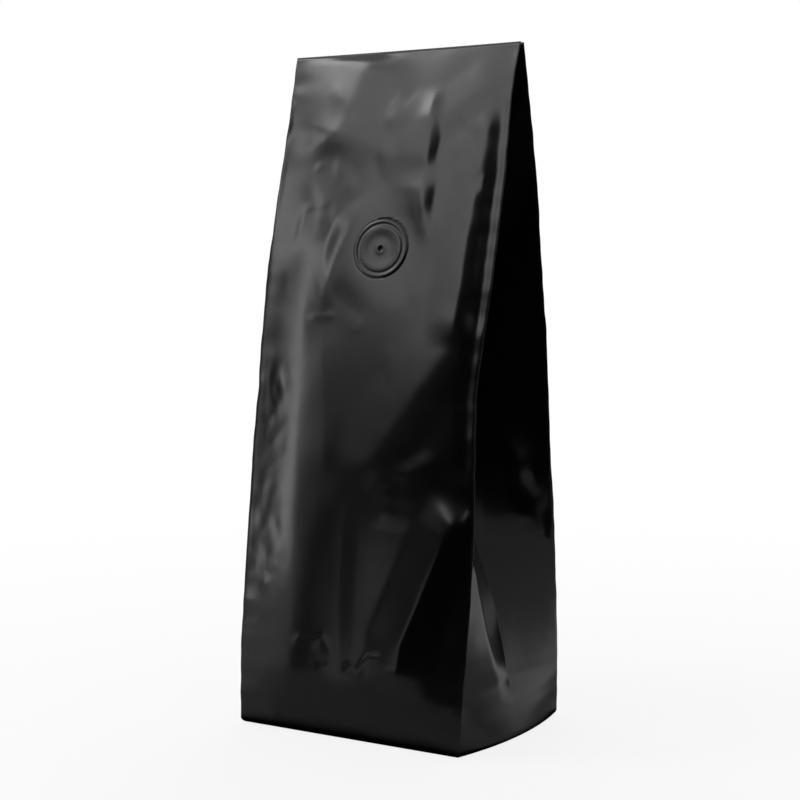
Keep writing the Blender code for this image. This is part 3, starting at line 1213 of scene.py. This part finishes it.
@dataclass(frozen=True)
class Card:
    """A curved studio card that only the film's gloss sees, with its top edge given by azimuth."""

    name: str
    edge: tuple[tuple[float, float], ...]
    tone: float
    low: float = -20.0
    distance: float = 1.5

    def build(self, target: Vector) -> None:
        """Stand the card round the bag.

        Args:
            target: The point that its angles are measured from.
        """
        azimuths = np.array([pair[0] for pair in self.edge])
        tops = np.array([pair[1] for pair in self.edge])
        fan = np.linspace(azimuths[0], azimuths[-1], 48)
        points = []
        for azimuth, top in zip(fan, np.interp(fan, azimuths, tops)):
            for elevation in (self.low, float(top)):
                flat = heading(float(azimuth), 0.0) * self.distance
                rise = self.distance * math.tan(math.radians(elevation))
                points.append(target + flat + Vector((0, 0, rise)))
        faces = [(2 * i, 2 * i + 2, 2 * i + 3, 2 * i + 1) for i in range(len(fan) - 1)]
        mesh = bpy.data.meshes.new(self.name)
        mesh.from_pydata(points, [], faces)
        gloss_only(self.name, mesh, glow_material(self.name, self.tone))


@dataclass(frozen=True)
class FloorCard:
    """A sector of floor that only the film's gloss sees: dark at the bag's footprint as painted shade, then a
    middle tone, then a far tone.
    """

    name: str
    first: float
    last: float
    near_tone: float
    far_tone: float
    reach: float = 1.7
    half_width: float = 0.054
    half_depth: float = 0.042
    # The reach from the footprint over which a painted shade of the floor under the bag lifts from black to
    # the near tone.
    rim: tuple[float, float] = (0.003, 0.012)
    fade: tuple[float, float] = (0.055, 0.110)

    def build(self, _: Vector) -> None:
        """Lay the card on the floor round the bag."""
        fan = np.radians(np.linspace(self.first, self.last, 24))
        points = [(0.0, 0.0, FLOOR_CARD_LIFT)]
        points += [(math.sin(a) * self.reach, -math.cos(a) * self.reach, FLOOR_CARD_LIFT) for a in fan]
        mesh = bpy.data.meshes.new(self.name)
        mesh.from_pydata(points, [], [(0, i, i + 1) for i in range(1, len(fan))])
        gloss_only(self.name, mesh, self.material())

    def material(self) -> Material:
        """A glow whose strength follows the distance from the bag's footprint, black right beside it as
        painted shade.
        """
        material = glow_material(self.name, 1.0)
        tree = material.node_tree
        nodes = tree.nodes
        place, split = nodes.new("ShaderNodeTexCoord"), nodes.new("ShaderNodeSeparateXYZ")
        gap, length = nodes.new("ShaderNodeCombineXYZ"), nodes.new("ShaderNodeVectorMath")
        length.operation = "LENGTH"
        for axis, half in (("X", self.half_width), ("Y", self.half_depth)):
            size, beyond = nodes.new("ShaderNodeMath"), nodes.new("ShaderNodeMath")
            held = nodes.new("ShaderNodeMath")
            size.operation, beyond.operation, held.operation = "ABSOLUTE", "SUBTRACT", "MAXIMUM"
            beyond.inputs[1].default_value, held.inputs[1].default_value = half, 0.0
            wire(tree, (split, axis, size, 0), (size, "Value", beyond, 0), (beyond, "Value", held, 0),
                 (held, "Value", gap, axis))
        near, far = nodes.new("ShaderNodeMapRange"), nodes.new("ShaderNodeMapRange")
        # Painted shade: black within the rim band's first distance of the footprint, reaching the near tone
        # at its second.
        for fade, bounds in ((near, self.rim), (far, self.fade)):
            fade.inputs["From Min"].default_value, fade.inputs["From Max"].default_value = bounds
        near.inputs["To Min"].default_value, near.inputs["To Max"].default_value = 0.0, self.near_tone
        mix = nodes.new("ShaderNodeMix")
        mix.data_type = "FLOAT"
        mix.inputs["B"].default_value = self.far_tone
        wire(tree, (place, "Object", split, "Vector"), (gap, "Vector", length, 0),
             (length, "Value", near, "Value"), (length, "Value", far, "Value"),
             (far, "Result", mix, "Factor"), (near, "Result", mix, "A"),
             (mix, "Result", nodes["Emission"], "Strength"))
        return material


def glow_material(name: str, tone: float) -> Material:
    """A material that shows one even tone."""
    material = bpy.data.materials.new(name)
    material.use_nodes = True
    nodes = material.node_tree.nodes
    nodes.clear()
    glow, out = nodes.new("ShaderNodeEmission"), nodes.new("ShaderNodeOutputMaterial")
    glow.inputs["Color"].default_value = (tone, tone, tone, 1)
    material.node_tree.links.new(glow.outputs["Emission"], out.inputs["Surface"])
    return material


def gloss_only(name: str, mesh: Mesh, material: Material) -> None:
    """Stand up a card that only reflections see, so that it throws no shade and stays out of every view.

    Args:
        name: The card's name.
        mesh: Its mesh.
        material: What it shows.
    """
    card = stand(name, mesh)
    mesh.materials.append(material)
    for rays in ("camera", "diffuse", "transmission", "volume_scatter", "shadow"):
        setattr(card, "visible_" + rays, False)


@dataclass
class Studio:
    """Floor, white surroundings, softboxes, cards and camera."""

    target: Vector
    camera_place: tuple[float, float, float] = (0.4029, -0.6474, 0.20005)
    camera_azimuth: float = 31.9
    camera_elevation: float = 4.9
    camera_roll: float = 0.12
    lens: float = 82.76
    sensor: float = 36.0
    floor_half: float = 4.0
    floor_drop: float = 0.0002
    floor_tone: float = 0.9
    glow_share: float = 0.84
    white_reach: tuple[float, float] = (0.12, 0.6)
    ambient: float = 0.4
    softboxes: tuple = (
        Softbox("key_softbox", -57, 44, 1.3, (0.38, 0.38), 6.0),
        Softbox("fill_softbox", -27, 33, 1.35, (0.62, 0.67), 1.1),
        Softbox("strip_softbox", -51.5, 8, 1.1, (0.10, 0.9), 4.6),
        Softbox("rear_softbox", 195, 38, 1.35, (1.2, 0.8), 2.2),
        Softbox("left_softbox", -112, 22, 1.35, (0.45, 1.0), 1.6),
    )
    cards: tuple = (
        Card("front_card", ((-18, 16), (-12, 23), (-9, 30), (-5, 50), (0, 62), (6, 50), (12, 26), (30, 18),
                            (60, 40), (88, 60)), 0.0),
        Card("dim_card", ((-29.5, -1), (-18, -1)), 0.6),
        Card("under_card", ((-30, 8), (-18, 16)), 0.0, distance=1.53),
        Card("hollow_card", ((-40, 3), (-34, 6), (-29.5, 8)), 0.0),
        Card("middle_card", ((-55, 27), (-40, 30), (-31, 27), (-20, 14)), 0.4, distance=1.55),
        Card("left_card", ((-78, 33), (-55, 33)), 0.06),
        Card("right_card", ((88, 45), (138, 45)), 0.28),
        Card("rear_card_low", ((138, 5), (155, 5)), 0.7),
        Card("rear_card_high", ((138, 45), (155, 45)), 0.1, distance=1.55),
        Card("dark_rear_card", ((155, 12), (215, 12)), 0.0),
    )
    floor_cards: tuple = (
        FloorCard("front_floor_card", -18, 100, 0.24, 0.0),
        FloorCard("dim_floor_card", -29.5, -18, 0.24, 0.6),
        FloorCard("hollow_floor_card", -40, -29.5, 0.24, 0.0),
        FloorCard("middle_floor_card", -55, -40, 0.35, 0.6),
        FloorCard("left_floor_card", -78, -55, 0.5, 0.3),
        FloorCard("far_left_floor_card", -145, -78, 0.3, 0.7),
        FloorCard("right_floor_card", 100, 138, 0.15, 0.28),
        FloorCard("rear_floor_card", 138, 155, 0.12, 0.7),
        FloorCard("dark_floor_card", 155, 215, 0.1, 0.0),
    )

    def camera(self) -> None:
        """Set up the camera."""
        lens = bpy.data.cameras.new("camera")
        lens.lens, lens.sensor_width = self.lens, self.sensor
        holder = stand("camera", lens)
        back = heading(self.camera_azimuth, self.camera_elevation)
        turn = math.radians(self.camera_azimuth)
        right = Vector((math.cos(turn), math.sin(turn), 0))
        frame = Matrix((right, back.cross(right), back)).transposed().to_4x4()
        roll = Matrix.Rotation(math.radians(self.camera_roll), 4, "Z")
        holder.matrix_world = Matrix.Translation(self.camera_place) @ frame @ roll
        bpy.context.scene.camera = holder

    @staticmethod
    def seen_white(tree: bpy.types.NodeTree) -> NodeSocket:
        """The mask of camera, glossy and transmission rays, which see the white background."""
        nodes = tree.nodes
        path = nodes.new("ShaderNodeLightPath")
        first, second = nodes.new("ShaderNodeMath"), nodes.new("ShaderNodeMath")
        first.operation = second.operation = "MAXIMUM"
        wire(tree, (path, "Is Camera Ray", first, 0), (path, "Is Glossy Ray", first, 1),
             (first, "Value", second, 0), (path, "Is Transmission Ray", second, 1))
        return second.outputs["Value"]

    def floor(self) -> None:
        """A plain white floor that keeps the bag's shadow."""
        half, low = self.floor_half, -self.floor_drop
        mesh = bpy.data.meshes.new("floor")
        mesh.from_pydata([(-half, -half, low), (half, -half, low), (half, half, low), (-half, half, low)],
                         [], [(0, 1, 2, 3)])
        floor = stand("floor", mesh)
        material = bpy.data.materials.new("white_floor")
        material.use_nodes = True
        nodes, link = material.node_tree.nodes, material.node_tree.links.new
        nodes.clear()
        matte, glow = nodes.new("ShaderNodeBsdfDiffuse"), nodes.new("ShaderNodeEmission")
        mix, out = nodes.new("ShaderNodeMixShader"), nodes.new("ShaderNodeOutputMaterial")
        matte.inputs["Color"].default_value = (self.floor_tone, self.floor_tone, self.floor_tone, 1)
        place, length = nodes.new("ShaderNodeTexCoord"), nodes.new("ShaderNodeVectorMath")
        length.operation = "LENGTH"
        fade = nodes.new("ShaderNodeMapRange")
        for name, value in zip(("From Min", "From Max", "To Min"), (*self.white_reach, self.glow_share)):
            fade.inputs[name].default_value = value
        share = nodes.new("ShaderNodeMath")
        share.operation = "MULTIPLY"
        wire(material.node_tree, (place, "Object", length, 0), (length, "Value", fade, "Value"),
             (fade, "Result", share, 1))
        link(self.seen_white(material.node_tree), share.inputs[0])
        wire(material.node_tree, (share, "Value", mix, "Fac"), (matte, "BSDF", mix, 1),
             (glow, "Emission", mix, 2), (mix, "Shader", out, "Surface"))
        mesh.materials.append(material)

    def world(self) -> None:
        """White surroundings for what is seen and reflected, and a soft even fill for the rest."""
        world = bpy.data.worlds.new("studio")
        bpy.context.scene.world = world
        world.use_nodes = True
        nodes, link = world.node_tree.nodes, world.node_tree.links.new
        back = nodes["Background"]
        back.inputs["Color"].default_value = (1, 1, 1, 1)
        level = nodes.new("ShaderNodeMapRange")
        level.inputs["To Min"].default_value = self.ambient
        level.inputs["To Max"].default_value = 1.0
        link(self.seen_white(world.node_tree), level.inputs["Value"])
        link(level.outputs["Result"], back.inputs["Strength"])

    def build(self) -> None:
        """Set up the whole studio."""
        bpy.context.scene.view_settings.view_transform = "Standard"
        self.camera()
        self.world()
        self.floor()
        for item in (*self.softboxes, *self.cards, *self.floor_cards):
            item.build(self.target)
        LOG.info("studio: %d softboxes, %d cards", len(self.softboxes), len(self.cards))


def main() -> None:
    """Build the bag's pieces and the studio, in order."""
    logging.basicConfig(level=logging.INFO, format="%(name)s: %(message)s")
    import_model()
    low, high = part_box("bag")
    form = BagForm(height=(high.z - low.z) * FULL_HEIGHT)
    seat = ValveSeat(form)
    film = FilmFinish("black_film")
    moulding = FilmFinish("black_moulding", roughness=0.24, spread=0.05)
    FilmBag(form, seat).build(film)
    fin_seal(form).build(film)
    base_seal(form).build(film)
    DegassingValve(seat).build(moulding)
    Studio(Vector(STUDIO_MIDDLE)).build()


if __name__ == "__main__":
    main()
